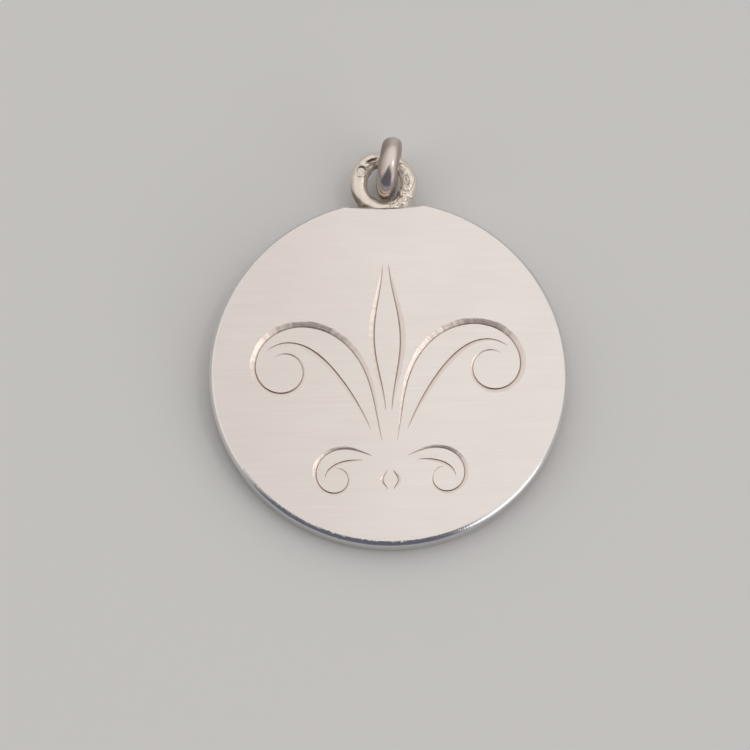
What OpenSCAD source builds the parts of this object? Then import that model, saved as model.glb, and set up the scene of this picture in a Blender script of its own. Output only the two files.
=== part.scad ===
// Engraved disc pendant: a round silver disc with a loop soldered to its edge and a jump ring.
// Millimetres, +Z up. The pendant lies as it would on a table: the jump ring stands upright
// through the loop and holds the top of the disc a little way off the table. The front is up.

/* [Disc] */
// Diameter of the disc
disc_d = 25; // [18:0.5:40]
// Thickness of the disc
disc_t = 1.6; // [1.2:0.1:3]
// Width of the slope filed round the front edge
front_bevel = 0.3; // [0.1:0.02:0.5]
// Width of the narrower slope round the back edge
back_bevel = 0.16; // [0.05:0.01:0.4]

/* [Soldered loop] */
// Outer diameter of the loop soldered to the disc
loop_d = 4.72; // [4:0.1:8]
// Diameter of the loop's round wire
loop_wire = 1.06; // [0.7:0.02:1.3]
// Width of the hollow filed in the disc's edge as a seat for the loop
seat_w = 5.5; // [4:0.1:8]
// Depth of the seat in the round edge
seat_depth = 0.48; // [0.44:0.02:0.8]
// Depth that the wire sinks into the seat
loop_sink = 0.4; // [0.2:0.02:0.6]
// Radius of the hollow of solder in the corner on each side of the loop
solder_r = 0.5; // [0.2:0.05:1]
// Thickness of the solder in those corners
solder_t = 0.7; // [0.3:0.05:1]
// Diameter of the blank punch marks on the loop
punch_d = 0.62; // [0.3:0.02:0.8]
// Depth of the punch marks at the top of the wire
punch_depth = 0.07; // [0.02:0.01:0.15]

/* [Jump ring] */
// Outer diameter of the jump ring
ring_d = 4.66; // [4:0.1:8]
// Width of its flattened wire, across the ring
ring_w = 1.3; // [1.2:0.05:2]
// Thickness of its wire, from the eye to the rim
ring_t = 1.08; // [0.7:0.02:1.2]
// Turn of the ring on the loop, seen from above
ring_turn = 10; // [-20:1:20]
// Where the ring hangs on the loop, as an angle from the loop's far point
ring_at = 15; // [-30:1:30]
// Air between the ring and the loop's wire
ring_gap = 0.07; // [0.05:0.01:0.2]

/* [Engraving] */
// Depth of the deepest engraved line
cut_depth = 0.12; // [0.06:0.01:0.2]
// Width of the shallow slope on one side of the deepest line
cut_slope_w = 0.4; // [0.2:0.02:0.6]
// Width of the steep wall on the other side of the deepest line
cut_wall_w = 0.07; // [0.04:0.01:0.15]
// Radius of the ornament as a share of the disc's radius
ornament = 0.92; // [0.6:0.02:1]

/* [Hidden] */
$fn = 96;
// Overlap that keeps cuts and joins clear of each other's faces
over = 0.5;

disc_r = disc_d / 2;
loop_r = (loop_d - loop_wire) / 2;

// The seat is an arc: its middle lies seat_depth below the round edge, its ends on that edge
edge_sag = disc_r - sqrt(disc_r * disc_r - seat_w * seat_w / 4);
seat_sag = seat_depth - edge_sag;
seat_r = (seat_w * seat_w / 4 + seat_sag * seat_sag) / (2 * seat_sag);
seat_y = disc_r - seat_depth;
loop_y = seat_y - loop_sink + loop_d / 2;

// The loop's wire, where the ring hangs on it, lies level with the middle of the upright
// ring, which tips the disc about the lowest line of its back
wire_x = loop_r * sin(ring_at);
wire_y = loop_y + loop_r * cos(ring_at);
pivot_y = disc_r - back_bevel;
reach = wire_y + pivot_y;
tilt = asin(ring_d / 2 / norm([disc_t / 2, reach])) - atan2(disc_t / 2, reach);

// The loop's wire almost touches the far side of the ring's eye. A larger ring is stopped
// sooner, where its near side meets the loop's near wire: it lies on a chord of the loop's eye
far_stop = ring_d / 2 - ring_t - loop_wire / 2 - ring_gap;
chord_aside = loop_r * abs(sin(ring_at - ring_turn)) + (ring_w - ring_t) / 2;
chord_room = max(loop_r - loop_wire / 2 - ring_t / 2 - ring_gap, chord_aside);
near_stop = loop_r * cos(ring_at - ring_turn)
    + sqrt(chord_room * chord_room - chord_aside * chord_aside) - (ring_d - ring_t) / 2;
ring_back = min(far_stop, near_stop);
ring_y = reach * cos(tilt) - disc_t / 2 * sin(tilt) - ring_back * cos(ring_turn);
ring_x = wire_x - ring_back * sin(ring_turn);

// The middle of the whole pendant, front to back, stands on the origin
near_y = (pivot_y - disc_r) * cos(tilt) - (disc_t - front_bevel) * sin(tilt);
far_y = ring_y + ring_t / 2 + (ring_d - ring_t) / 2 * cos(ring_turn)
    + (ring_w - ring_t) / 2 * abs(sin(ring_turn));
middle_y = (near_y + far_y) / 2;

// Strokes of the ornament, drawn for the right half and mirrored. X, Y, length and the widest
// opening between the two lines of a stroke are shares of the ornament's radius. The heading
// turns by TURN degrees in all, the more of it at the end the higher LATE is. CLOSES is the
// share of the length at which the two lines have met again.
X = 0;
Y = 1;
HEADING = 2;
LENGTH = 3;
TURN = 4;
LATE = 5;
OPENING = 6;
CLOSES = 7;
scroll = [0.045, -0.52, 75, 2.02, -520, 2.7, 0.13, 0.66];
leaf = [0, -0.3, 90, 1.02, 0, 1, 0.13, 1];
tendril = [0.07, -0.57, 18, 0.8, -430, 2.2, 0.05, 0.7];
bud = [0, -0.76, 90, 0.14, 0, 1, 0.06, 1];

// Lines that are cut: stroke, start and end as shares of its length, side of the stroke's
// middle (1 left, -1 right) and depth as a share of cut_depth
LINES = [
    [scroll, 0, 1, 1, 1],
    [scroll, 0.05, 0.62, -1, 0.75],
    [leaf, 0, 1, -1, 0.9],
    [tendril, 0, 1, 1, 0.65],
    [tendril, 0.08, 0.6, -1, 0.5],
    [bud, 0, 1, -1, 0.5],
];
// Steps along a whole stroke
steps = 64;
// Half the space left between the two lines where a stroke is closed
line_gap = 0.016;
// Height above the face from which the cutter comes down
lift = 0.03;

function heading(s, t) = s[HEADING] + s[TURN] * pow(t, s[LATE]);

// Middle of a stroke: steps of one length, each along the heading at its own middle
function spine(s) = [
    for (
        i = 0, p = [s[X], s[Y]];
        i <= steps;
        p = p + s[LENGTH] / steps * [cos(heading(s, (i + 0.5) / steps)),
                                     sin(heading(s, (i + 0.5) / steps))],
        i = i + 1
    ) p
];

// Distance of a line from the middle of its stroke
function spread(s, t) =
    line_gap + s[OPENING] * (1 - cos(360 * min(t / s[CLOSES], 1))) / 4;

// Depth of the cut below the face: the tool comes down, cuts deepest midway and leaves
function cut_at(u, share) = (cut_depth * share + lift) * pow(max(sin(180 * u), 0), 0.7) - lift;

// Three points across a line at step i: top of the wall, bottom, top of the slope
function across(p, angle, side, cut) =
    let (
        out = side * [-sin(angle), cos(angle)],
        high = cut + lift,
        wall = p - out * high * cut_wall_w / cut_depth,
        slope = p + out * high * cut_slope_w / cut_depth
    )
    [[wall[0], wall[1], lift], [p[0], p[1], -cut], [slope[0], slope[1], lift]];

// One engraved line: a three-sided bar that tapers to a point at both ends
module engraved_line(line) {
    s = line[0];
    first = round(line[1] * steps);
    last = round(line[2] * steps);
    side = line[3];
    size = ornament * disc_r;
    middle = spine(s);
    stations = [
        for (i = [first:last])
            let (
                t = i / steps,
                a = heading(s, t),
                shift = side * spread(s, t) * [-sin(a), cos(a)],
                cut = cut_at((i - first) / (last - first), line[4])
            )
            across(size * (middle[i] + shift), a, side, cut)
    ];
    count = last - first - 1;
    start = stations[0][1];
    end = stations[count + 1][1];
    bars = [for (k = [1:count]) each stations[k]];
    points = concat([start], bars, [end]);
    tip = 3 * count + 1;
    sides = [
        for (k = [0:count - 2], j = [0:2])
            let (a = 3 * k + 1 + j, b = 3 * k + 1 + (j + 1) % 3)
            each [[a, b, b + 3], [a, b + 3, a + 3]]
    ];
    caps = [
        for (j = [0:2])
            each [[0, 1 + (j + 1) % 3, 1 + j], [tip, tip - 3 + j, tip - 3 + (j + 1) % 3]]
    ];
    faces = concat(sides, caps);
    turned = side > 0 ? faces : [for (f = faces) [f[2], f[1], f[0]]];
    polyhedron(points, turned, convexity = 6);
}

module ornament_cuts() {
    for (line = LINES, half = [0, 1])
        mirror([half, 0, 0]) engraved_line(line);
}

// Body of the disc with both edges sloped and the seat filed out of it
module blank() {
    difference() {
        rotate_extrude()
            polygon([
                [0, 0],
                [disc_r - back_bevel, 0],
                [disc_r, back_bevel],
                [disc_r, disc_t - front_bevel],
                [disc_r - front_bevel, disc_t],
                [0, disc_t],
            ]);
        translate([0, seat_y + seat_r, -over])
            cylinder(r = seat_r, h = disc_t + 2 * over, $fn = 360);
    }
}

// Solder drawn up both sides of the loop in a hollow curve
module solder() {
    rise = loop_y - seat_y - solder_r;
    side_x = sqrt(pow(loop_d / 2 + solder_r, 2) - rise * rise);
    top_y = loop_y - rise * loop_d / 2 / (loop_d / 2 + solder_r);
    translate([0, 0, (disc_t - solder_t) / 2])
        linear_extrude(solder_t)
            difference() {
                translate([-side_x, seat_y - over])
                    square([2 * side_x, top_y - seat_y + over]);
                for (s = [-1, 1])
                    translate([s * side_x, seat_y + solder_r])
                        circle(r = solder_r);
                translate([0, loop_y])
                    circle(r = loop_r);
            }
}

module soldered_loop() {
    translate([0, loop_y, disc_t / 2])
        difference() {
            rotate_extrude()
                translate([loop_r, 0])
                    circle(d = loop_wire, $fn = 48);
            for (a = [35, 145])
                rotate([0, 0, a])
                    translate([loop_r, 0, loop_wire / 2 - punch_depth])
                        cylinder(d = punch_d, h = loop_wire, $fn = 32);
        }
}

// Disc, loop and solder are one piece of metal; it leans on its lower back edge
module disc() {
    color([0.87, 0.84, 0.81])
        translate([0, -middle_y, 0])
            rotate([tilt, 0, 0])
                translate([0, pivot_y, 0])
                    difference() {
                        union() {
                            blank();
                            solder();
                            soldered_loop();
                        }
                        translate([0, 0, disc_t])
                            ornament_cuts();
                    }
}

// The ring stands on the table, its eye round the loop's wire
module jump_ring() {
    color([0.72, 0.69, 0.67])
        translate([ring_x, ring_y - middle_y, ring_d / 2])
            rotate([0, 0, -ring_turn])
                rotate([0, 90, 0])
                    rotate_extrude()
                        translate([(ring_d - ring_t) / 2, 0]) {
                            for (s = [-1, 1])
                                translate([0, s * (ring_w - ring_t) / 2])
                                    circle(d = ring_t, $fn = 48);
                            square([ring_t, ring_w - ring_t], center = true);
                        }
}

disc();
jump_ring();
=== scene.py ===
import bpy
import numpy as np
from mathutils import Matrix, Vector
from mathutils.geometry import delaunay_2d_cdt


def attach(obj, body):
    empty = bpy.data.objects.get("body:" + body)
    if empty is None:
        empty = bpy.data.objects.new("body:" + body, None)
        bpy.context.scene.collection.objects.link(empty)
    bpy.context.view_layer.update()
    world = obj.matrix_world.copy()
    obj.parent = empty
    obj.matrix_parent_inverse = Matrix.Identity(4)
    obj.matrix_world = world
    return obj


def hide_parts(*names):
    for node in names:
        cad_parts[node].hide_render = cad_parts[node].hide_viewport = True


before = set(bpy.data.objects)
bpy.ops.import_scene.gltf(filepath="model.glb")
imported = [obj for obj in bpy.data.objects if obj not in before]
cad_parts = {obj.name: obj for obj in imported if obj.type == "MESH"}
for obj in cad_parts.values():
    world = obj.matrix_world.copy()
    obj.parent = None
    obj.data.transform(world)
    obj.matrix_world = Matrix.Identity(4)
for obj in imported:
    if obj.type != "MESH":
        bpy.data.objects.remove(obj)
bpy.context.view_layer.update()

# %% [markdown]
# An engraved silver disc pendant, about as wide as a coin: a filed round disc, a loop of
# wire soldered to its edge, and a jump ring for the chain.
# The measured solids are already loaded. This file dresses them with finer surfaces, which
# are all worked out with numpy, and with procedural silver.

# %% [markdown]
# Every size of the pendant, in millimetres, as a jeweller would note it. The same sizes made
# the solids, so a piece that is built from them lands where its solid is.
# The pendant lies on a table: the jump ring stands upright and holds the loop's far wire at
# half its height, which tips the disc up by about three degrees. The tip is worked out here
# and not typed in, so that it follows the sizes.

# %% Sizes and resting place
DISC_R, DISC_T = 12.5, 1.6
FRONT_BEVEL, BACK_BEVEL = 0.3, 0.16
LOOP_D, LOOP_WIRE = 4.72, 1.06
SEAT_W, SEAT_DEPTH, LOOP_SINK = 5.5, 0.48, 0.4
RING_D, RING_W, RING_T = 4.66, 1.3, 1.08
RING_TURN, RING_AT, RING_GAP = np.radians(10), np.radians(15), 0.07

LOOP_R = (LOOP_D - LOOP_WIRE) / 2
SEAT_Y = DISC_R - SEAT_DEPTH
seat_sag = SEAT_DEPTH - (DISC_R - np.sqrt(DISC_R ** 2 - SEAT_W ** 2 / 4))
SEAT_R = (SEAT_W ** 2 / 4 + seat_sag ** 2) / (2 * seat_sag)
LOOP_Y = SEAT_Y - LOOP_SINK + LOOP_D / 2

pivot_y = DISC_R - BACK_BEVEL
wire_x, wire_y = LOOP_R * np.sin(RING_AT), LOOP_Y + LOOP_R * np.cos(RING_AT)
reach = wire_y + pivot_y
TILT = np.arcsin(RING_D / 2 / np.hypot(DISC_T / 2, reach)) - np.arctan2(DISC_T / 2, reach)
far_stop = RING_D / 2 - RING_T - LOOP_WIRE / 2 - RING_GAP
chord_aside = LOOP_R * abs(np.sin(RING_AT - RING_TURN)) + (RING_W - RING_T) / 2
chord_room = LOOP_R - LOOP_WIRE / 2 - RING_T / 2 - RING_GAP
near_stop = (LOOP_R * np.cos(RING_AT - RING_TURN) - (RING_D - RING_T) / 2
             + np.sqrt(chord_room ** 2 - chord_aside ** 2))
ring_back = min(far_stop, near_stop)
ring_y = reach * np.cos(TILT) - DISC_T / 2 * np.sin(TILT) - ring_back * np.cos(RING_TURN)
near_y = (pivot_y - DISC_R) * np.cos(TILT) - (DISC_T - FRONT_BEVEL) * np.sin(TILT)
far_y = (ring_y + RING_T / 2 + (RING_D - RING_T) / 2 * np.cos(RING_TURN)
         + (RING_W - RING_T) / 2 * abs(np.sin(RING_TURN)))
MIDDLE_Y = (near_y + far_y) / 2
RING_CENTRE = np.array([wire_x - ring_back * np.sin(RING_TURN), ring_y - MIDDLE_Y,
                        RING_D / 2])
print("the disc is tipped up by", round(float(np.degrees(TILT)), 2), "degrees")


def lay_down(points):
    """Turn disc points (mm, back face at z 0, centre at the middle) by the tilt about the
    lowest back edge, then shift them to the middle of the pendant's box."""
    x, y, z = points[..., 0], points[..., 1] + pivot_y, points[..., 2]
    return np.stack([x, y * np.cos(TILT) - z * np.sin(TILT) - MIDDLE_Y,
                     y * np.sin(TILT) + z * np.cos(TILT)], axis=-1)


# %% [markdown]
# A surface here is a grid: rows of points, each joined to the next row by quads. Two helpers
# do this for every piece. One numbers the quads as whole arrays; where a side is wrapped, the
# last row or column joins the first, so tubes and rings have no open seam.
# The other puts points and faces into a mesh, with smooth shading but sharp creases.

# %% Grids of quads and the piece that they become
def grid_quads(rows, columns, wrap_rows=False, wrap_columns=True):
    """Corner numbers of the quads between neighbouring points of a grid, row by row."""
    r = np.arange(rows if wrap_rows else rows - 1)[:, None]
    c = np.arange(columns if wrap_columns else columns - 1)[None, :]
    r1, c1 = (r + 1) % rows, (c + 1) % columns
    corners = [r * columns + c, r * columns + c1, r1 * columns + c1, r1 * columns + c]
    return np.stack(corners, axis=-1).reshape(-1, 4)


def make_piece(name, points_mm, faces, crease=30):
    """Mesh object at the origin from points in millimetres and lists of corner numbers."""
    mesh = bpy.data.meshes.new(name)
    mesh.from_pydata((np.asarray(points_mm).reshape(-1, 3) * 0.001).tolist(), [],
                     [list(map(int, face)) for face in faces])
    mesh.validate()
    mesh.shade_smooth()
    mesh.set_sharp_from_angle(angle=np.radians(crease))
    piece = bpy.data.objects.new(name, mesh)
    bpy.context.scene.collection.objects.link(piece)
    print(name, "has", len(mesh.polygons), "faces")
    return piece


# %% [markdown]
# The disc is sawn from sheet and filed round, then a flat hollow is filed in its edge as a
# seat for the loop. So its outline is a circle whose radius is cut back where the seat's arc
# crosses it, and a soft minimum rounds the two corners as a file does.
# A hand-filed circle is never true: this one is a little large, off its middle and faintly
# three-cornered, and the slope round its front is twice as wide at the near side as at the
# far side.
# The edge is a profile carried round that outline: a worn slope at the front, a wall, and a
# smaller slope at the back. A lathe-like spin could not follow the seat, a swept profile can.
# The strokes of the file are real ridges too. They start where the slope meets the flat and
# die away down the slope and to both sides of the near edge. They are waves with whole
# numbers of ridges round the disc, so that they close.

# %% The disc's outline and edge
def outline(angle):
    """Distance from the middle at each angle: the circle's radius with one and three slow
    waves round it and a fuller side at the lower right, or the near side of the seat's circle
    along that ray, whichever is less, blended where they differ by less than soft. A ray that
    misses the seat's circle meets it far out."""
    far_out, soft = 99.0, 0.03
    filed = (DISC_R + 0.05 + 0.065 * np.cos(angle + 1.3) + 0.05 * np.cos(3 * angle + 1.8)
             + 0.12 * np.cos(angle + 1.05).clip(0) ** 2)
    middle = SEAT_Y + SEAT_R
    under = SEAT_R ** 2 - (middle * np.cos(angle)) ** 2
    seat = np.where((under > 0) & (np.sin(angle) > 0),
                    middle * np.sin(angle) - np.sqrt(np.maximum(under, 0)), far_out)
    h = np.clip(0.5 + 0.5 * (seat - filed) / soft, 0, 1)
    return seat * (1 - h) + filed * h - soft * h * (1 - h)


def worn_slope(width, count, top, foot):
    """Inset and drop along a quarter of a superellipse, from the wall to the flat face: with
    both powers at 1 it is straight, and each power rounds its own end more as it nears 2."""
    a = np.linspace(0, np.pi / 2, count)
    return width * (1 - np.cos(a) ** (2 / top)), width * (1 - np.sin(a) ** (2 / foot))


# points round the disc, 0.03 mm apart
AROUND = 2880
angles = np.linspace(0, 2 * np.pi, AROUND, endpoint=False)
rays = np.stack([np.cos(angles), np.sin(angles)], axis=-1)
back_in, back_up = worn_slope(BACK_BEVEL, 8, 1.45, 1.45)
front_in, front_down = worn_slope(FRONT_BEVEL, 14, 1.32, 1.1)
# the front slope drops less than it is wide
SLOPE_DROP = 0.85
# the first row lies 0.5 mm in on the flat back and the last 0.6 mm in on the flat front
insets = np.concatenate([[0.5], back_in[::-1], front_in, [0.6]])
drops = np.concatenate([[DISC_T], DISC_T - back_up[::-1], SLOPE_DROP * front_down, [0]])
back_rows = 1 + len(back_in)
# the sum of 24 waves, 0.1 to 0.3 mm long, strongest 19 degrees left of the nearest point
ridge_rng = np.random.default_rng(4)
ridges = np.sin(np.outer(ridge_rng.integers(260, 800, 24), angles)
                + ridge_rng.uniform(0, 2 * np.pi, (24, 1))).sum(axis=0) / 5
near_edge = np.cos(angles + 1.9).clip(0) ** 8
at_top = (front_in / FRONT_BEVEL) ** 4
uneven = np.ones((len(insets), AROUND))
# the slope has 1.09 of its width and drop at the near side and 0.55 at the far side
uneven[back_rows:-1] = (0.82 + 0.27 * np.cos(angles + 1.66)
                        + 0.2 * near_edge * ridges * at_top[:, None])
low = (np.arange(len(insets)) < back_rows)[:, None]
rim = np.empty((len(insets), AROUND, 3))
rim[..., :2] = (outline(angles) - insets[:, None] * uneven)[..., None] * rays
rim[..., 2] = DISC_T - drops[:, None] * np.where(low, 1, uneven)
print("the seat is", round(DISC_R - outline(np.array([np.pi / 2]))[0], 2), "mm deep")

# %% [markdown]
# The ornament is cut by hand with a square graver that is leaned to one side: each line has
# a steep thin wall and a wide shallow slope, and it swells and fades as the tool goes in and
# comes out. A stroke is a curve whose heading turns more and more, like a spring, and most
# strokes are opened into two lines that part and meet again.
# It could be a texture, but only real grooves catch the light from every side.

# %% Strokes of the ornament
CUT_DEPTH, SLOPE_W, WALL_W = 0.12, 0.4, 0.07
ORNAMENT_R = 0.92 * DISC_R
# half the space between two lines that have met, a share of the ornament's radius; the height
# in mm from which the graver comes down; the power that makes it go in steeply
LINE_GAP, LIFT, GOES_IN = 0.016, 0.03, 0.7

# start x, start y, heading, length, turn, lateness of the turn, opening, where it closes
SCROLL = (0.045, -0.52, 75, 2.02, -520, 2.7, 0.13, 0.66)
LEAF = (0, -0.3, 90, 1.02, 0, 1, 0.13, 1)
TENDRIL = (0.07, -0.57, 18, 0.8, -430, 2.2, 0.05, 0.7)
BUD = (0, -0.76, 90, 0.14, 0, 1, 0.06, 1)
# stroke, start, end, side of the stroke's middle, share of the full depth
LINES = [(SCROLL, 0, 1, 1, 1), (SCROLL, 0.05, 0.62, -1, 0.75), (LEAF, 0, 1, -1, 0.9),
         (TENDRIL, 0, 1, 1, 0.65), (TENDRIL, 0.08, 0.6, -1, 0.5), (BUD, 0, 1, -1, 0.5)]


def stroke_line(stroke, side, want):
    """Points and headings of one line: steps of one length, each along the heading at its
    middle, summed up, then moved sideways by half the opening, a raised cosine."""
    x, y, heading, length, turn, late, opening, closes = stroke
    fine = 1024
    t = np.arange(fine + 1) / fine
    mid = np.radians(heading + turn * ((t[:-1] + t[1:]) / 2) ** late)
    px = x + np.concatenate([[0], np.cumsum(np.cos(mid))]) * length / fine
    py = y + np.concatenate([[0], np.cumsum(np.sin(mid))]) * length / fine
    a = np.radians(heading + turn * t ** late)
    apart = side * (LINE_GAP + opening * (1 - np.cos(2 * np.pi * np.minimum(t / closes, 1))) / 4)
    at = [np.interp(want, t, v) for v in (px - apart * np.sin(a), py + apart * np.cos(a), a)]
    return ORNAMENT_R * np.stack(at[:2], axis=-1), at[2]


# %% [markdown]
# A groove is a strip of cross-sections along its line, with one point at each end, where the
# graver enters and leaves. The slope is a little hollow, and its width trembles slightly, as
# a hand does. A map of millimetres along and across the groove goes with it, for the tool
# marks.

# %% One groove
# across the deepest line: mm from its bottom, and depth there as a share of the deepest
PROFILE = np.array([[-WALL_W, 0], [0, 1], [0.36 * SLOPE_W, 0.58], [0.7 * SLOPE_W, 0.25],
                    [SLOPE_W, 0]])


def groove(line, mirrored, seed):
    """Rows of five points: top of the wall, bottom, two on the hollow slope, top of the
    slope. Width is depth times a fixed slope, depth is a power of a half sine wave, and both
    tremble by three sine waves along the line, 3.1, 1.3 and 0.55 mm long."""
    stroke, start, end, side, share = line
    full = CUT_DEPTH * share + LIFT
    # where the graver meets the face, and 460 sections for a line as long as the scroll
    enters = np.arcsin((LIFT / full) ** (1 / GOES_IN)) / np.pi
    count = int(40 + 420 * (end - start) * stroke[3] / SCROLL[3])
    u = np.linspace(enters, 1 - enters, count)
    path, heading = stroke_line(stroke, side, start + (end - start) * u)
    step = np.linalg.norm(np.diff(path, axis=0), axis=1)
    run = np.concatenate([[0], np.cumsum(step)])
    rng = np.random.default_rng(seed)
    waves = [np.sin(2 * np.pi * run / size + rng.uniform(0, 6.3)) for size in (3.1, 1.3, 0.55)]
    tremble = 1 + 0.04 * waves[0] + 0.03 * waves[1] + 0.02 * waves[2]
    deep = (full * np.sin(np.pi * u) ** GOES_IN - LIFT).clip(0) * tremble
    out = side * np.stack([-np.sin(heading), np.cos(heading)], axis=-1)
    strip = np.empty((count, 5, 3))
    wide = deep[:, None] / CUT_DEPTH * PROFILE[:, 0]
    strip[..., :2] = path[:, None] + out[:, None] * wide[..., None]
    strip[..., 2] = DISC_T - deep[:, None] * PROFILE[:, 1]
    if mirrored:
        strip[..., 0] *= -1
    marks = np.stack([np.broadcast_to(run[:, None], wide.shape), wide], axis=-1)
    return strip, marks, (side > 0) != mirrored


# %% [markdown]
# All strips are numbered one after another. The inner rows make quads, and a fan of four
# triangles closes each end. The rim of each groove is also kept as a closed loop of corner
# numbers, because the flat round it has to meet it point for point.

# %% Numbering the grooves
def groove_faces(count, first, flip):
    """Quads between the inner rows, a fan at each tip, and the loop of rim corners."""
    body = grid_quads(count - 2, 5, wrap_columns=False)
    j = np.arange(4)
    last, tip = (count - 3) * 5, (count - 2) * 5
    fans = [np.stack([np.full(4, tip), j + 1, j], axis=-1),
            np.stack([np.full(4, tip + 1), last + j, last + j + 1], axis=-1)]
    row = np.arange(count - 2) * 5
    loop_of_rim = np.concatenate([[tip], row, [tip + 1], (row + 4)[::-1]])
    faces = body.tolist() + fans[0].tolist() + fans[1].tolist()
    return [[first + v for v in (f[::-1] if flip else f)] for f in faces], first + loop_of_rim


strip_points, strip_marks, strip_faces, rims = [], [], [], []
for number, line in enumerate(LINES):
    for mirrored in (False, True):
        strip, marks, flip = groove(line, mirrored, 10 + number)
        faces, rim_loop = groove_faces(len(strip), sum(map(len, strip_points)), flip)
        strip_faces += faces
        rims.append(rim_loop)
        for store, rows5 in ((strip_points, strip), (strip_marks, marks)):
            store.append(np.concatenate([rows5[1:-1].reshape(-1, rows5.shape[-1]),
                                         rows5[[0, -1], 0]]))
strip_points, strip_marks = np.concatenate(strip_points), np.concatenate(strip_marks)
print("the ornament has", len(rims), "grooves with", len(strip_faces), "faces")

# %% [markdown]
# The flat between the grooves and the worn edge is filled by a constrained Delaunay
# triangulation: it joins given points by triangles and keeps every given line. A Boolean cut
# would be shorter to write, but it leaves one face of a thousand corners that shades badly.
# Each triangle comes back with the regions that it lies in, so those inside a groove drop out.

# %% The flat of the front
def turning_left(loop_of_points, points):
    """The loop, turned round if its signed area (half the sum of cross products) is below 0."""
    x, y = points[loop_of_points, 0], points[loop_of_points, 1]
    area = (x * np.roll(y, -1) - y * np.roll(x, -1)).sum() / 2
    return loop_of_points if area > 0 else loop_of_points[::-1]


flat_points = np.concatenate([rim[-1], strip_points])
regions = [list(range(AROUND))] + [turning_left(r + AROUND, flat_points).tolist() for r in rims]
used = np.unique(np.concatenate([np.array(region) for region in regions]))
small = {int(v): k for k, v in enumerate(used)}
# keep only triangles inside the regions; points nearer than this, in mm, are one point
ONLY_INSIDE, SAME_POINT = 1, 1e-7
found = delaunay_2d_cdt([Vector(p[:2]) for p in flat_points[used]], [],
                        [[small[v] for v in region] for region in regions],
                        ONLY_INSIDE, SAME_POINT)
flat_triangles = [[int(used[found[3][v][0]]) for v in face]
                  for face, inside in zip(found[2], found[5]) if list(inside) == [0]]
crossing = sum(len([r for r in inside if r]) > 1 for inside in found[5])
print("flat:", len(flat_triangles), "triangles;", len(found[0]) - len(used),
      "new points,", crossing, "triangles where grooves cross")

# %% [markdown]
# Edge, flat, back and grooves become one mesh. The grooves and the filed edge get their own
# material slots, and creases are marked where they meet the flat, so that the satin stays
# flat up to the cut. File strokes run across the edge, so each of its points also keeps its
# place on the edge. The place is a point on a circle, which closes without a seam.

# %% The engraved disc
rows = len(insets)
strip_first = rows * AROUND
edge_faces = grid_quads(rows, AROUND).tolist() + [list(range(AROUND))[::-1]]
flat_shift = (rows - 1) * AROUND
all_points = np.concatenate([rim.reshape(-1, 3), strip_points])
disc_faces = (edge_faces + [[flat_shift + v for v in face] for face in flat_triangles]
              + [[strip_first + v for v in face] for face in strip_faces])
disc_body = make_piece("disc_body", lay_down(all_points), disc_faces, crease=11)
plain_slot = bpy.data.materials.new("satin_silver")
cut_slot = bpy.data.materials.new("bright_cut_silver")
edge_slot = bpy.data.materials.new("filed_silver")
for finish in (plain_slot, cut_slot, edge_slot):
    disc_body.data.materials.append(finish)
# slot 0 for the flats, 1 for the grooves, 2 for the filed edge
slots = np.zeros(len(disc_faces), dtype=np.int32)
slots[-len(strip_faces):] = 1
slots[AROUND:(rows - 2) * AROUND] = 2
disc_body.data.polygons.foreach_set("material_index", slots)

mark_map = disc_body.data.uv_layers.new(name="tool_marks")
corner = np.empty(len(disc_body.data.loops), dtype=np.int32)
disc_body.data.loops.foreach_get("vertex_index", corner)
all_marks = np.concatenate([np.zeros((strip_first, 2)), strip_marks]).astype(np.float32)
mark_map.uv.foreach_set("vector", all_marks[corner].ravel())

# place on the edge in mm: round the disc on a full circle, and a fifth of the way across it
edge_step = np.hypot(np.diff(insets), np.diff(drops))
edge_place = np.zeros((len(all_points), 3), dtype=np.float32)
edge_place[:strip_first, :2] = (DISC_R * np.broadcast_to(rays, (rows, AROUND, 2))).reshape(-1, 2)
edge_place[:strip_first, 2] = np.repeat(np.concatenate([[0], np.cumsum(edge_step)]) / 5, AROUND)
disc_body.data.attributes.new("edge_place", "FLOAT_VECTOR", "POINT").data.foreach_set(
    "vector", edge_place.ravel())

# %% [markdown]
# Hand-made metal is never even. Lumps here are a sum of plane waves with random directions:
# cheap, smooth, the same on every run, and it can be taken at any points in space, so a tube
# has no seam in it. It roughens the solder and makes the wires slightly uneven.

# %% Unevenness in space
def lumps(points, size, seed, count=28):
    """Sum of sine waves of about one wavelength in random directions, scaled to about -1..1."""
    rng = np.random.default_rng(seed)
    direction = rng.normal(size=(count, 3))
    direction /= np.linalg.norm(direction, axis=1, keepdims=True)
    wave = direction * (2 * np.pi / size) * rng.uniform(0.7, 1.5, (count, 1))
    phase = rng.uniform(0, 2 * np.pi, count)
    return np.sin(points @ wave.T + phase).sum(axis=-1) / np.sqrt(count / 2) / 1.6


def smooth(low, high, value):
    """Rises from 0 to 1 between low and high with level ends."""
    s = np.clip((value - low) / (high - low), 0, 1)
    return s * s * (3 - 2 * s)


# %% [markdown]
# The loop is a ring of round wire, set on edge into the seat and soldered. A plain torus would
# do for the wire, but solder climbs into the corners, and here it also swells the sides. So
# the loop is one tube whose wire radius depends on where it is, and each step below adds to
# that radius or takes from it.
# Phi runs round the loop from its right side, turned is the same angle from -pi to pi, and
# theta runs round the wire from its outside.

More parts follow.
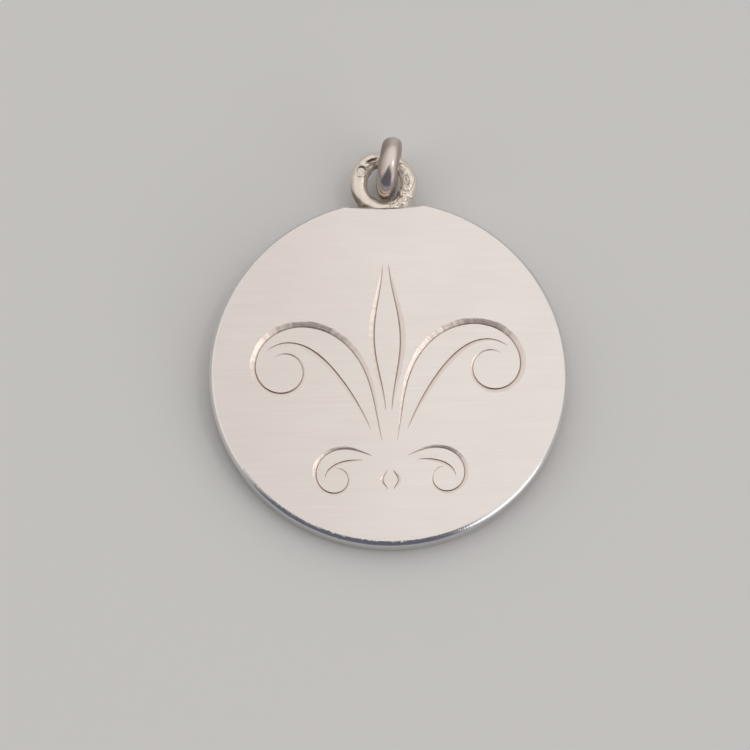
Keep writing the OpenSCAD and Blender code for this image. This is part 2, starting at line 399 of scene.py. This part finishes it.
# %% The wire of the loop
def bare_wire(phi, theta, turned):
    """Radius of the middle line, and wire radius: base + swellings outside and inside + flare
    towards the seat, squared off by a superellipse on the upper inner side."""
    below = np.abs((phi - 1.5 * np.pi + np.pi) % (2 * np.pi) - np.pi)
    # swellings in mm: outside at the upper left and right, inside on the left and right
    outer = (0.15 * smooth(1.70, 1.95, phi) * (1 - smooth(2.65, 3.15, phi))
             + 0.06 * np.exp(-((turned - 0.08) / 0.3) ** 2))
    inner = (0.10 * smooth(2.1, 2.5, phi) * (1 - smooth(3.2, 4.2, phi))
             + 0.05 * np.exp(-((phi - 3.0) / 0.3) ** 2) + 0.1 * np.exp(-((phi - 4.2) / 0.35) ** 2)
             + 0.09 * smooth(-0.9, -0.5, turned) * (1 - smooth(0.2, 0.6, turned)))
    wire = LOOP_WIRE / 2 - 0.004 + (outer + inner) / 2
    # the flare fills the gap to the seat along each ray, up to 54 degrees from straight down
    seat_gap = (LOOP_Y - SEAT_Y) / np.cos(np.minimum(below, 1.1)) - LOOP_D / 2
    flare = (seat_gap.clip(0) + 0.10) * (1 - smooth(0.58, 0.95, below))
    outward = smooth(-0.35, 1.0, np.cos(theta)) * (0.35 + 0.65 * np.cos(theta).clip(0))
    # how much the solder squares the section: a little on the left, much on the right
    filled = (0.8 * smooth(2.5, 2.8, phi) * (1 - smooth(3.7, 4.1, phi))
              + 3 * smooth(-0.75, -0.45, turned) * (1 - smooth(0.75, 1.0, turned)))
    power = 2 + filled * smooth(-0.1, 0.5, -np.cos(theta)) * smooth(-0.5, 0.2, np.sin(theta))
    squared = (np.abs(np.cos(theta)) ** power + np.abs(np.sin(theta)) ** power) ** (-1 / power)
    return LOOP_R + (outer - inner) / 2, (wire + flare * outward) * squared


def on_loop(centre, radius, phi, theta):
    """A point lies at the middle line's radius plus the wire radius times the cosine of theta,
    and the wire radius times the sine of theta above the middle of the disc's thickness."""
    ring = centre + radius * np.cos(theta)
    return np.stack([ring * np.cos(phi), ring * np.sin(phi) + LOOP_Y,
                     radius * np.sin(theta) + DISC_T / 2], axis=-1)


# %% [markdown]
# Solder that ran up the lower right was left rough and pitted. On the right it lies as a flat
# patch that ends at a fine dark line, and the left side stayed smooth. A texture could darken
# these places, but only a change of the radius shades them. What is cut in is also darkened
# in colour, so the same values say how dark it is.

# %% Rough solder and its patch
def with_solder(p, radius, phi, theta, turned):
    """Wire radius + rough run + patch - pits - seam, a narrow bell curve where the patch's
    oval ends. The darkening is the strongest of what the pits, the seam and small pits give."""
    run = smooth(4.65, 5.0, phi) * (1 - smooth(5.6, 6.1, phi))
    rough = lumps(p, 0.6, 3) * 0.03 + lumps(p, 0.2, 4) * 0.014
    pits = smooth(0.45, 1.0, lumps(p, 0.2, 8)) * run
    off_patch = np.hypot((turned - 0.17 + 0.05 * np.sin(3 * theta)) / 0.66,
                         (theta - 1.75 + 0.06 * np.sin(9 * phi)) / 0.9)
    patch = 1 - smooth(0.9, 1.0, off_patch)
    seam = np.exp(-((off_patch - 1.0) / 0.05) ** 2)
    radius = (radius + run * (0.03 + rough) - 0.03 * pits + 0.004 * lumps(p, 1.1, 5)
              + patch * (0.02 + 0.3 * rough) - 0.035 * seam)
    small_pits = smooth(0.8, 1.2, lumps(p, 0.16, 12)) * patch
    outer_seam = 0.25 + 0.7 * smooth(-0.2, 0.8, np.cos(theta) + 0.5 * turned)
    stain = np.maximum.reduce([pits * 0.6, seam * outer_seam, small_pits * 0.5])
    return radius - 0.02 * small_pits, stain


# %% [markdown]
# Silver is usually stamped on such a loop, so two blank punch marks dent the wire at the upper
# left, and on the right there is an oval hollow in the patch. A punch pushes metal up round
# itself, which gives each mark a lip that catches the light. Painted shade, with some tarnish,
# darkens the walls of the marks and the inner side of the loop, and painted shade lies under
# its lower left.

# %% Marks, tarnish and painted shade
# marks on the loop: x, y from its middle, half length, half width, turn, depth in mm, how
# much of the floor of the mark is darkened as painted shade
MARKS = ((-1.58, 0.87, 0.37, 0.37, 0, 0.09, 0.1), (-0.80, 1.64, 0.43, 0.12, 0.35, 0.12, 1.0),
         (1.63, 0.13, 0.44, 0.25, 1.83, 0.05, 0.12))


def with_marks(p, radius, stain, theta):
    """Each mark is an ellipse on the wire's upper side, deeper to one side, inside a lip that
    is a bell curve and about a third as high as the mark is deep. Its wall, most on the deeper
    side, and a share of its floor are darkened as painted shade."""
    upper = smooth(0.0, 0.4, np.sin(theta))
    for x, y, length, width, turn, depth, dark in MARKS:
        dx, dy = p[..., 0] - x, p[..., 1] - LOOP_Y - y
        a = (dx * np.cos(turn) + dy * np.sin(turn)) / length
        b = (-dx * np.sin(turn) + dy * np.cos(turn)) / width
        d = np.sqrt(a * a + b * b)
        steep = 0.65 + 0.35 * np.clip(b / np.maximum(d, 0.2), -1, 1)
        dent = 1 - smooth(0.62, 1.0, d)
        lip = np.exp(-((d - 1.15) / 0.13) ** 2)
        radius = radius - upper * depth * (dent * steep - 0.35 * lip)
        # painted shade in each mark: its wall, darker on the steep side, and a share of its floor
        wall = np.exp(-((d - 0.84) / 0.17) ** 2) * steep
        stain = np.maximum(stain, upper * np.maximum(wall, dark * dent))
    return radius, stain


def with_tarnish(stain, phi, theta):
    """The strongest of the darkening so far, the inner side, partly tarnish and partly painted
    shade and fainter at the bottom, and painted shade in a band on the lower left that reaches
    further round the wire the lower it is."""
    # painted shade, with some tarnish: the inner side of the wire, fainter at the bottom
    inside = smooth(0.66, 1.0, -np.cos(theta)) * (0.45 - 0.25 * smooth(3.3, 3.9, phi)
                                                  * (1 - smooth(5.6, 6.1, phi)))
    # painted shade: the underside of the lower left, reaching further round the lower it is
    lower_left = smooth(3.2, 3.9, phi)
    under = smooth(0.15 - 0.75 * lower_left, 0.75 - 0.85 * lower_left,
                   np.cos(theta) - 0.9 * np.sin(theta))
    under = under * smooth(2.9, 3.5, phi) * (1 - smooth(4.55, 4.8, phi)) * 0.95
    return np.maximum.reduce([stain, inside, under])


# %% [markdown]
# Now the steps are put together. Solder and marks are placed in space, so the surface is
# worked out again before each of them.

# %% The soldered loop
def soldered_loop(around=640, section=128):
    """Points and their darkening on a grid of phi and theta: bare wire, then solder, then marks.
    """
    phi = np.linspace(0, 2 * np.pi, around, endpoint=False)[:, None]
    theta = np.linspace(0, 2 * np.pi, section, endpoint=False)[None, :]
    turned = (phi + np.pi) % (2 * np.pi) - np.pi
    centre, radius = bare_wire(phi, theta, turned)
    radius, stain = with_solder(on_loop(centre, radius, phi, theta), radius, phi, theta, turned)
    radius, stain = with_marks(on_loop(centre, radius, phi, theta), radius, stain, theta)
    return on_loop(centre, radius, phi, theta), with_tarnish(stain, phi, theta)


loop_points, loop_stain = soldered_loop()
loop_quads = grid_quads(*loop_points.shape[:2], wrap_rows=True)[:, ::-1]
loop = make_piece("soldered_loop", lay_down(loop_points), loop_quads, crease=60)
# how dark each point of the loop is painted: tarnish and painted shade
tarnish = loop.data.attributes.new("tarnish", "FLOAT", "POINT")
tarnish.data.foreach_set("value", loop_stain.ravel().astype(np.float32))

# %% [markdown]
# The jump ring is a short closed ring of wire that has been flattened a little, polished and
# worn. It stands on the table and leans on the loop. Its section is a soft oblong that
# bulges more to the right and stands higher there at the top, and its two ends were filed
# narrower before they were closed at the near side, where a fine line still shows.

# %% The jump ring
def worn_ring(around=480, section=120):
    """Superellipse section carried round a circle. Its width shrinks by a third towards
    the filed ends, a bell curve, and the joint is a narrow dip in its size. At the top a
    slant is added that rises to the right. Painted shade lies on the flanks, more near the
    ends, and on the left side and the far end, and the joint is a dark line; the far end and
    the right side are dull. Psi runs round the ring from its far side over the top, and theta
    round the wire from the rim."""
    psi = np.linspace(0, 2 * np.pi, around, endpoint=False)[:, None]
    theta = np.linspace(0, 2 * np.pi, section, endpoint=False)[None, :]
    c, s = np.cos(theta), np.sin(theta)
    joint_at = np.radians(197)
    off = (psi - joint_at + np.pi) % (2 * np.pi) - np.pi
    joint = np.exp(-(off * RING_D / 2 / 0.035) ** 2)
    filed = 1 - 0.34 * np.exp(-(off / 0.5) ** 2)
    size = 1 - 0.07 * joint - 0.006 * (1 + np.cos(2 * psi + 0.8))
    thick = RING_T / 2 * np.sign(c) * np.abs(c) ** (2 / 2.2) * size
    thick = thick + 0.12 * smooth(0.0, 0.7, np.sin(psi)) * s * c.clip(0)
    fuller = 0.08 + 0.07 * smooth(0.2, 0.9, np.sin(psi - 0.3))
    wide = (RING_W / 2 + fuller * smooth(0, 0.6, s)) * np.sign(s) * np.abs(s) ** (2 / 1.9) * size
    wide = wide * filed
    out = (RING_D - RING_T) / 2 + thick
    flat = np.stack([wide + 0 * out, out * np.cos(psi), out * np.sin(psi)], axis=-1)
    flat = flat * (1 + 0.002 * lumps(flat, 1.6, 21)[..., None])
    x = flat[..., 0] * np.cos(RING_TURN) + flat[..., 1] * np.sin(RING_TURN)
    y = -flat[..., 0] * np.sin(RING_TURN) + flat[..., 1] * np.cos(RING_TURN)
    near_end = (0.5 + 0.5 * np.cos(off)) ** 2
    # painted shade on the flanks, the left side and the far end; the joint is a dark line
    grime = np.maximum.reduce([smooth(0.72, 0.98, -s) * (0.5 + 0.2 * near_end),
                               smooth(0.45, 0.85, s) * (0.4 + 0.35 * near_end),
                               smooth(-0.3, 0.7, -s) * (0.6 - 0.3 * near_end),
                               0.45 * smooth(0.7, 1.0, np.cos(psi)) + 0 * s, 0.8 * joint + 0 * s])
    dull = np.maximum(smooth(-0.2, 1.0, np.cos(psi)), 0.9 * smooth(0.42, 0.66, s))
    return np.stack([x, y, flat[..., 2]], axis=-1) + RING_CENTRE, grime, dull


ring_points, ring_grime, ring_dull = worn_ring()
ring_quads = grid_quads(*ring_points.shape[:2], wrap_rows=True)[:, ::-1]
ring = make_piece("jump_ring_wire", ring_points, ring_quads, crease=60)
for word, values in (("unrubbed", ring_dull), ("grime", ring_grime)):
    ring.data.attributes.new(word, "FLOAT", "POINT").data.foreach_set(
        "value", values.ravel().astype(np.float32))

# %% [markdown]
# Three helpers for the finishes. Colours are noted as sRGB hex, the way a picture shows them,
# and the shader wants them linear, so the first converts. The second adds a node with its
# settings and links in one call, which keeps each finish readable. The third empties a
# material and hands on its object coordinates.
# Those are in metres, so a pattern's scale is written as grains in a millimetre times MM.

# %% Colour and node helpers
# the scale that puts one grain in each millimetre
MM = 1000.0


def linear(code):
    """sRGB hex to linear RGBA: divide by 12.92 below 0.04045, else the 2.4 power curve."""
    srgb = [int(code[i:i + 2], 16) / 255 for i in (0, 2, 4)]
    return [v / 12.92 if v <= 0.04045 else ((v + 0.055) / 1.055) ** 2.4 for v in srgb] + [1.0]


def add_node(material, kind, inputs=(), **settings):
    """Add a node; an input given as another node's socket is linked, else its value is set.
    A colour mix has its two colours at inputs 6 and 7 and the mixed colour at output 2."""
    tree = material.node_tree
    node = tree.nodes.new(kind)
    for name, value in settings.items():
        setattr(node, name, value)
    for name, value in dict(inputs).items():
        if isinstance(value, bpy.types.NodeSocket):
            tree.links.new(value, node.inputs[name])
        else:
            node.inputs[name].default_value = value
    return node


def blank_finish(material):
    """Empty the tree and give back the object coordinates in metres."""
    material.use_nodes = True
    material.node_tree.nodes.clear()
    return add_node(material, "ShaderNodeTexCoord").outputs["Object"]


# %% [markdown]
# The front of the disc is sterling silver finished on fine wheels and then worn: satin, so it
# gives back the light as an even pale sheet. Its strokes are long and faint, which a noise
# stretched along X gives. Real ones are about 0.02 mm wide and too fine to show, so they are
# drawn 0.1 mm wide and 4.5 mm long. Cells 2.6 mm wide leave a tiny pit each, clouds 4 mm wide
# make the tint a little uneven, and painted shade darkens and warms it from the left rim to
# 6 mm right of the middle.

# %% Satin silver
def satin_silver(material):
    """Strokes set the roughness and raise a grain, cell centres are dented, clouds mix two
    tints, and the tint of a painted shade is mixed in by how far left a point lies."""
    place = blank_finish(material)
    strokes = add_node(material, "ShaderNodeMapping",
                       {"Vector": place, "Scale": (0.22 * MM, 9 * MM, 9 * MM),
                        "Rotation": (0, 0, 0.12)})
    streak = add_node(material, "ShaderNodeTexNoise",
                      {"Vector": strokes.outputs[0], "Scale": 1, "Detail": 3, "Distortion": 0.4})
    cloud = add_node(material, "ShaderNodeTexNoise",
                     {"Vector": place, "Scale": 0.26 * MM, "Detail": 3})
    pits = add_node(material, "ShaderNodeTexVoronoi", {"Vector": place, "Scale": 0.38 * MM})
    pit = add_node(material, "ShaderNodeMapRange",
                   {"Value": pits.outputs["Distance"], "From Min": 0.02, "From Max": 0.06})
    tint = add_node(material, "ShaderNodeMix",
                    {"Factor": cloud.outputs[0], 6: linear("efe7e2"), 7: linear("f5efea")},
                    data_type="RGBA")
    across = add_node(material, "ShaderNodeSeparateXYZ", {0: place})
    # painted shade: the face is darker and warmer towards the left
    film = add_node(material, "ShaderNodeMapRange",
                    {"Value": across.outputs["X"], "From Min": -0.0125, "From Max": 0.006,
                     "To Min": 0.3, "To Max": 0.0}, interpolation_type="SMOOTHSTEP")
    filmed = add_node(material, "ShaderNodeMix",
                      {"Factor": film.outputs[0], 6: tint.outputs[2], 7: linear("d5c7c0")},
                      data_type="RGBA")
    gloss = add_node(material, "ShaderNodeMapRange",
                     {"Value": streak.outputs[0], "From Min": 0.3, "From Max": 0.7,
                      "To Min": 0.48, "To Max": 0.6})
    grain = add_node(material, "ShaderNodeBump",
                     {"Height": streak.outputs[0], "Strength": 0.28, "Distance": 0.00002})
    dents = add_node(material, "ShaderNodeBump",
                     {"Height": pit.outputs[0], "Strength": 0.35, "Distance": 0.00002,
                      "Normal": grain.outputs[0]})
    metal = add_node(material, "ShaderNodeBsdfPrincipled",
                     {"Base Color": filmed.outputs[2], "Metallic": 1.0,
                      "Roughness": gloss.outputs[0], "Normal": dents.outputs[0]})
    add_node(material, "ShaderNodeOutputMaterial", {"Surface": metal.outputs[0]})


satin_silver(plain_slot)
print("satin silver has", len(plain_slot.node_tree.nodes), "nodes")

# %% [markdown]
# The edge is the same silver, filed and rubbed smooth, so it mirrors more than the face does,
# and faint strokes 0.13 mm wide are left across it. They are noise on the place on the edge,
# where a millimetre across counts as a fifth: the strokes come out five times longer than
# wide. Clouds 2.4 mm wide vary the tint.

# %% Filed silver
def filed_silver(material):
    """Strokes set the roughness and a slight bump, and clouds mix two tints."""
    place = blank_finish(material)
    on_edge = add_node(material, "ShaderNodeAttribute", attribute_name="edge_place")
    strokes = add_node(material, "ShaderNodeTexNoise",
                       {"Vector": on_edge.outputs["Vector"], "Scale": 7.5, "Detail": 3})
    cloud = add_node(material, "ShaderNodeTexNoise",
                     {"Vector": place, "Scale": 0.42 * MM, "Detail": 2})
    tint = add_node(material, "ShaderNodeMix",
                    {"Factor": cloud.outputs[0], 6: linear("dcd9d8"), 7: linear("efedeb")},
                    data_type="RGBA")
    gloss = add_node(material, "ShaderNodeMapRange",
                     {"Value": strokes.outputs[0], "From Min": 0.3, "From Max": 0.7,
                      "To Min": 0.16, "To Max": 0.22})
    bump = add_node(material, "ShaderNodeBump",
                    {"Height": strokes.outputs[0], "Strength": 0.1, "Distance": 0.00005})
    metal = add_node(material, "ShaderNodeBsdfPrincipled",
                     {"Base Color": tint.outputs[2], "Metallic": 1.0,
                      "Roughness": gloss.outputs[0], "Normal": bump.outputs[0]})
    add_node(material, "ShaderNodeOutputMaterial", {"Surface": metal.outputs[0]})


filed_silver(edge_slot)

# %% [markdown]
# A graver leaves a bright cut. The tool's own edge draws fine lines along it, 0.07 mm wide,
# and where the hand pushed in small steps there is chatter across it, 0.17 mm a step. A brown
# line darkens the bottom, gone 0.09 mm to each side. All three read the map of millimetres
# along and across the groove, so they follow it round every turn.

# %% Bright-cut silver
def bright_cut_silver(material):
    """Noise stretched along the groove mixes two tints and scores it, noise stretched across
    it is a second bump, and the brown tint fades with the distance from the bottom."""
    blank_finish(material)
    marks = add_node(material, "ShaderNodeUVMap", uv_map="tool_marks")
    along = add_node(material, "ShaderNodeMapping",
                     {"Vector": marks.outputs[0], "Scale": (1.0, 14.0, 1)})
    lines = add_node(material, "ShaderNodeTexNoise",
                     {"Vector": along.outputs[0], "Scale": 1, "Detail": 2})
    steps = add_node(material, "ShaderNodeMapping",
                     {"Vector": marks.outputs[0], "Scale": (6.0, 1.0, 1)})
    chatter = add_node(material, "ShaderNodeTexNoise",
                       {"Vector": steps.outputs[0], "Scale": 1, "Detail": 1})
    tint = add_node(material, "ShaderNodeMix",
                    {"Factor": lines.outputs[0], 6: linear("d6c6be"), 7: linear("ece2dc")},
                    data_type="RGBA")
    sides = add_node(material, "ShaderNodeSeparateXYZ", {0: marks.outputs[0]})
    away = add_node(material, "ShaderNodeMath", {0: sides.outputs["Y"]}, operation="ABSOLUTE")
    # a brown line darkens the bottom of each groove
    dirt = add_node(material, "ShaderNodeMapRange",
                    {"Value": away.outputs[0], "From Min": 0.01, "From Max": 0.09,
                     "To Min": 0.55, "To Max": 0.0}, interpolation_type="SMOOTHSTEP")
    lined = add_node(material, "ShaderNodeMix",
                     {"Factor": dirt.outputs[0], 6: tint.outputs[2], 7: linear("85715f")},
                     data_type="RGBA")
    scored = add_node(material, "ShaderNodeBump",
                      {"Height": lines.outputs[0], "Strength": 0.5, "Distance": 0.00003})
    bump = add_node(material, "ShaderNodeBump",
                    {"Height": chatter.outputs[0], "Strength": 0.3, "Distance": 0.00003,
                     "Normal": scored.outputs[0]})
    metal = add_node(material, "ShaderNodeBsdfPrincipled",
                     {"Base Color": lined.outputs[2], "Metallic": 1.0, "Roughness": 0.3,
                      "Normal": bump.outputs[0]})
    add_node(material, "ShaderNodeOutputMaterial", {"Surface": metal.outputs[0]})


bright_cut_silver(cut_slot)

# %% [markdown]
# The loop was pickled, that is cleaned in warm acid, and left as it came out: a matte warm
# ivory silver. It is painted browner in its corners and underneath, partly tarnish and partly
# painted shade. A grain of six or seven specks a millimetre breaks up its reflections, clouds
# 1.1 mm wide vary the tint, and an attribute on the loop says how dark each point is painted.

# %% Pickled silver
def pickled_silver(material):
    """Clouds mix two tints, 0.8 of the tarnish and painted shade mixes in brown, and the grain is
    a bump.
    """
    place = blank_finish(material)
    grain = add_node(material, "ShaderNodeTexNoise",
                     {"Vector": place, "Scale": 6.5 * MM, "Detail": 3})
    cloud = add_node(material, "ShaderNodeTexNoise",
                     {"Vector": place, "Scale": 0.9 * MM, "Detail": 3})
    # the loop's tarnish and painted shade
    hollow = add_node(material, "ShaderNodeAttribute", attribute_name="tarnish")
    stain = add_node(material, "ShaderNodeMath", {0: hollow.outputs["Fac"], 1: 0.8},
                     operation="MULTIPLY")
    tint = add_node(material, "ShaderNodeMix",
                    {"Factor": cloud.outputs[0], 6: linear("e2d3c4"), 7: linear("f4ede4")},
                    data_type="RGBA")
    dark = add_node(material, "ShaderNodeMix",
                    {"Factor": stain.outputs[0], 6: tint.outputs[2], 7: linear("63503f")},
                    data_type="RGBA")
    bump = add_node(material, "ShaderNodeBump",
                    {"Height": grain.outputs[0], "Strength": 0.4, "Distance": 0.00003})
    metal = add_node(material, "ShaderNodeBsdfPrincipled",
                     {"Base Color": dark.outputs[2], "Metallic": 1.0, "Roughness": 0.37,
                      "Normal": bump.outputs[0]})
    add_node(material, "ShaderNodeOutputMaterial", {"Surface": metal.outputs[0]})


loop_finish = bpy.data.materials.new("pickled_silver")
pickled_silver(loop_finish)
loop.data.materials.append(loop_finish)

# %% [markdown]
# The jump ring has been rubbed until it shines, and its silver has darkened. The far end and
# the right side, which nothing rubs, stay dull, and brown painted shade lies on the flanks, the
# left side and the far end, with a dark line at the joint. Two attributes on the ring say where.
# Scuffs, five to a millimetre, vary the gloss, and clouds 1.4 mm wide vary the tint.

# %% Polished darkened silver
def polished_silver(material):
    """Clouds mix two tints, the painted shade and the joint line mix in brown, and the roughness
    is that of the scuffs plus 0.22 times how little a point is rubbed."""
    place = blank_finish(material)
    cloud = add_node(material, "ShaderNodeTexNoise",
                     {"Vector": place, "Scale": 0.7 * MM, "Detail": 4})
    scuffs = add_node(material, "ShaderNodeTexNoise",
                      {"Vector": place, "Scale": 5.2 * MM, "Detail": 2})
    tint = add_node(material, "ShaderNodeMix",
                    {"Factor": cloud.outputs[0], 6: linear("d3c5bd"), 7: linear("eee4de")},
                    data_type="RGBA")
    gloss = add_node(material, "ShaderNodeMapRange",
                     {"Value": scuffs.outputs[0], "To Min": 0.14, "To Max": 0.24})
    # brown painted shade, and the dark line of the joint
    flanks = add_node(material, "ShaderNodeAttribute", attribute_name="grime")
    dirty = add_node(material, "ShaderNodeMix",
                     {"Factor": flanks.outputs["Fac"], 6: tint.outputs[2], 7: linear("5f4a3b")},
                     data_type="RGBA")
    dull_end = add_node(material, "ShaderNodeAttribute", attribute_name="unrubbed")
    dull = add_node(material, "ShaderNodeMath",
                    {0: dull_end.outputs["Fac"], 1: 0.22, 2: gloss.outputs[0]},
                    operation="MULTIPLY_ADD")
    bump = add_node(material, "ShaderNodeBump",
                    {"Height": scuffs.outputs[0], "Strength": 0.08, "Distance": 0.00002})
    metal = add_node(material, "ShaderNodeBsdfPrincipled",
                     {"Base Color": dirty.outputs[2], "Metallic": 1.0,
                      "Roughness": dull.outputs[0], "Normal": bump.outputs[0]})
    add_node(material, "ShaderNodeOutputMaterial", {"Surface": metal.outputs[0]})


ring_finish = bpy.data.materials.new("polished_silver")
polished_silver(ring_finish)
ring.data.materials.append(ring_finish)

# %% [markdown]
# The pieces take the place of their solids: the disc and the loop stand for one solid,
# because on the real pendant they are soldered into one, and the ring stands for the other.

# %% Joining the frame
for piece, slot in ((disc_body, "satin_silver"), (loop, "satin_silver"),
                    (ring, "polished_silver")):
    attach(piece, "root")
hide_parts("disc")
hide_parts("disc")
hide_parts("jump_ring")

# %% [markdown]
# The floor is plain and pale. Silver shows what stands round it more than its own colour, so
# it is usually lit in a white tent that is open towards the camera. Here the sky is that tent:
# bright behind, overhead and at the sides, and dim in front, in the wedge between the two
# open edges, with a little blue near the ground. One long lamp low on the right lights the
# slope of the edge, and a smaller one above gives the polished wire its glint.

# %% Floor and light
def flat_sheet(name, half, height):
    """A square of one face at a height, all in metres."""
    mesh = bpy.data.meshes.new(name)
    mesh.from_pydata([(-half, -half, height), (half, -half, height),
                      (half, half, height), (-half, half, height)], [], [(0, 1, 2, 3)])
    sheet = bpy.data.objects.new(name, mesh)
    bpy.context.scene.collection.objects.link(sheet)
    return sheet


floor = flat_sheet("floor", 1.5, 0.0)
paper = bpy.data.materials.new("pale_paper")
paper.use_nodes = True
paper.node_tree.nodes["Principled BSDF"].inputs["Base Color"].default_value = linear("dddbd9")
paper.node_tree.nodes["Principled BSDF"].inputs["Roughness"].default_value = 0.9
floor.data.materials.append(paper)

tent = bpy.data.worlds.new("white_tent")
tent.use_nodes = True
towards = add_node(tent, "ShaderNodeSeparateXYZ", {
    0: add_node(tent, "ShaderNodeTexCoord").outputs["Generated"]})
x_part, y_part, z_part = (towards.outputs[axis] for axis in "XYZ")
# the opening reaches 42 degrees right and 66 degrees left of straight in front: the tangents
OPEN_RIGHT, OPEN_LEFT = 0.9, 2.2
right_wall = add_node(tent, "ShaderNodeMath", {0: y_part, 1: OPEN_RIGHT, 2: x_part},
                      operation="MULTIPLY_ADD")
minus_x = add_node(tent, "ShaderNodeMath", {0: x_part, 1: -1.0}, operation="MULTIPLY")
left_wall = add_node(tent, "ShaderNodeMath", {0: y_part, 1: OPEN_LEFT, 2: minus_x.outputs[0]},
                     operation="MULTIPLY_ADD")
walls = add_node(tent, "ShaderNodeMath", {0: right_wall.outputs[0], 1: left_wall.outputs[0]},
                 operation="MAXIMUM")
# the cloth fades in softly at each open edge, and is at its brightest from 33 degrees up
inside = add_node(tent, "ShaderNodeMapRange",
                  {"Value": walls.outputs[0], "From Min": -0.4, "From Max": 0.14},
                  interpolation_type="SMOOTHSTEP")
height = add_node(tent, "ShaderNodeMapRange", {"Value": z_part, "From Max": 0.55},
                  interpolation_type="SMOOTHSTEP")
# amounts of light, not colours of a surface: low and high on the cloth, then in the opening
cloth = add_node(tent, "ShaderNodeMix",
                 {"Factor": height.outputs[0], 6: (0.40, 0.39, 0.40, 1),
                  7: (0.93, 0.92, 0.905, 1)}, data_type="RGBA")
front = add_node(tent, "ShaderNodeMix",
                 {"Factor": z_part, 6: (0.12, 0.135, 0.19, 1), 7: (0.14, 0.13, 0.13, 1)},
                 data_type="RGBA")
sky = add_node(tent, "ShaderNodeMix",
               {"Factor": inside.outputs[0], 6: front.outputs[2], 7: cloth.outputs[2]},
               data_type="RGBA")
tent.node_tree.links.new(sky.outputs[2], tent.node_tree.nodes["Background"].inputs["Color"])
bpy.context.scene.world = tent


def soft_lamp(name, place, wide, high, power, colour):
    """Oblong area lamp at a place in metres, its -Z axis turned to face the pendant."""
    data = bpy.data.lights.new(name, "AREA")
    data.shape, data.size, data.size_y = "RECTANGLE", wide, high
    data.energy, data.color = power, linear(colour)[:3]
    lamp = bpy.data.objects.new(name, data)
    z = np.array(place) / np.linalg.norm(place)
    x = np.cross((0, 0, 1), z)
    x /= np.linalg.norm(x)
    lamp.matrix_world = Matrix([[*row, p] for row, p in
                                zip(np.stack([x, np.cross(z, x), z], 1), place)] + [[0, 0, 0, 1]])
    bpy.context.scene.collection.objects.link(lamp)


soft_lamp("right_lamp", (0.66, -0.57, 0.25), 0.6, 0.24, 0.66, "f4f6ff")
soft_lamp("glint_lamp", (0.37, 0.0, 0.80), 0.24, 0.09, 0.3, "fffaf4")
# a straight tone curve keeps the contrast that silver has on a picture
bpy.context.scene.view_settings.view_transform = "Standard"

# %% [markdown]
# The camera looks down steeply from the lower edge of the disc, from far off with a long
# lens. Its aim is set so that the disc's middle lies a little right of the picture's middle.

# %% Camera
AZIMUTH, ELEVATION = np.radians(-1.25), np.radians(70.9)
# the lens and the camera's own sensor in mm, mm on the pendant for each pixel, width of the
# picture in pixels, and the pixel, from the left and the top, where the face's middle lies
LENS, SENSOR, PIXEL, FRAME = 200.0, 36, 0.07015, 750
FACE_X, FACE_Y = 388.0, 370.1
look = np.array([np.sin(AZIMUTH) * np.cos(ELEVATION), -np.cos(AZIMUTH) * np.cos(ELEVATION),
                 np.sin(ELEVATION)])
side_way = np.array([np.cos(AZIMUTH), np.sin(AZIMUTH), 0])
up_way = np.cross(look, side_way)
face_middle = lay_down(np.array([0.0, 0.0, DISC_T]))
aim = (face_middle - side_way * (FACE_X - FRAME / 2) * PIXEL
       - up_way * (FRAME / 2 - FACE_Y) * PIXEL)
distance = FRAME * PIXEL * LENS / SENSOR
camera = bpy.data.objects.new("camera", bpy.data.cameras.new("camera"))
camera.data.lens = LENS
spot = (aim + look * distance) * 0.001
camera.matrix_world = Matrix([[*row, p] for row, p in
                              zip(np.stack([side_way, up_way, look], 1), spot)] + [[0, 0, 0, 1]])
bpy.context.scene.collection.objects.link(camera)
bpy.context.scene.camera = camera
print("camera", [round(float(v), 4) for v in spot], "m")
